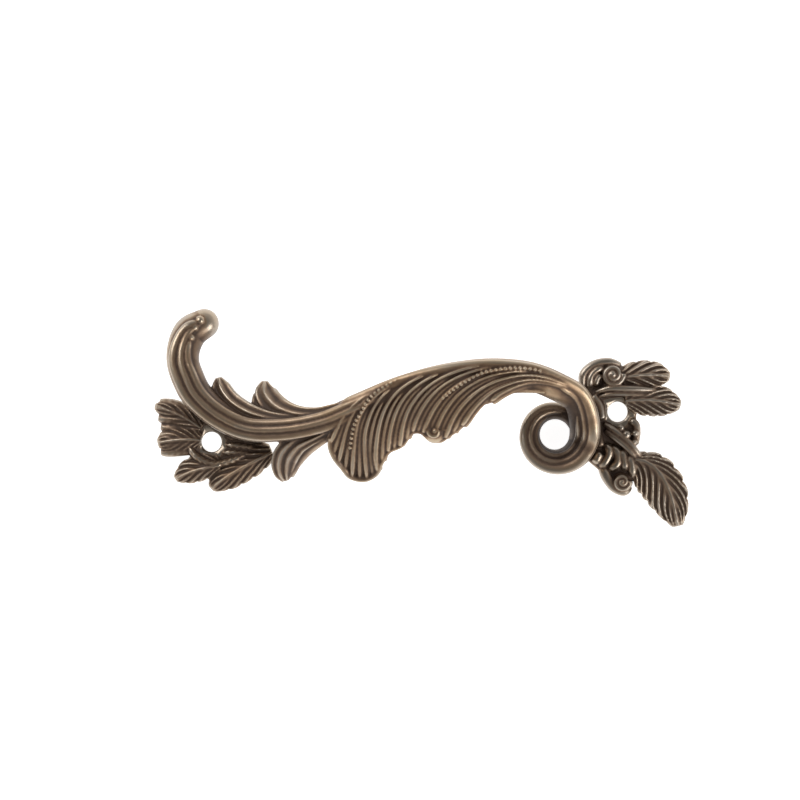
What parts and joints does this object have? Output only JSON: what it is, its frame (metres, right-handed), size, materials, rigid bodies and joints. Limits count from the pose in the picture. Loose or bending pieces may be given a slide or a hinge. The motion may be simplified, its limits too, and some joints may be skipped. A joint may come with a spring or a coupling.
{
  "type": "cabinet handle",
  "caption": "Rococo cabinet handle: a fluted bar with a hooked end, an arch carved as an acanthus leaf and a scrolled curl, cast with leaf feet that take screws.",
  "frame": {"origin": "midway between the two screw holes, on the face that lies against the cabinet", "axes": "+X along the line of the screw holes towards the curl, +Y towards the hooked end's side, +Z away from the cabinet"},
  "size_m": [0.124, 0.0594, 0.0265],
  "materials": {
    "antique_brass": "antique"
  },
  "bodies": {
    "root": {"handle_casting": "antique_brass"}
  },
  "joints": []
}
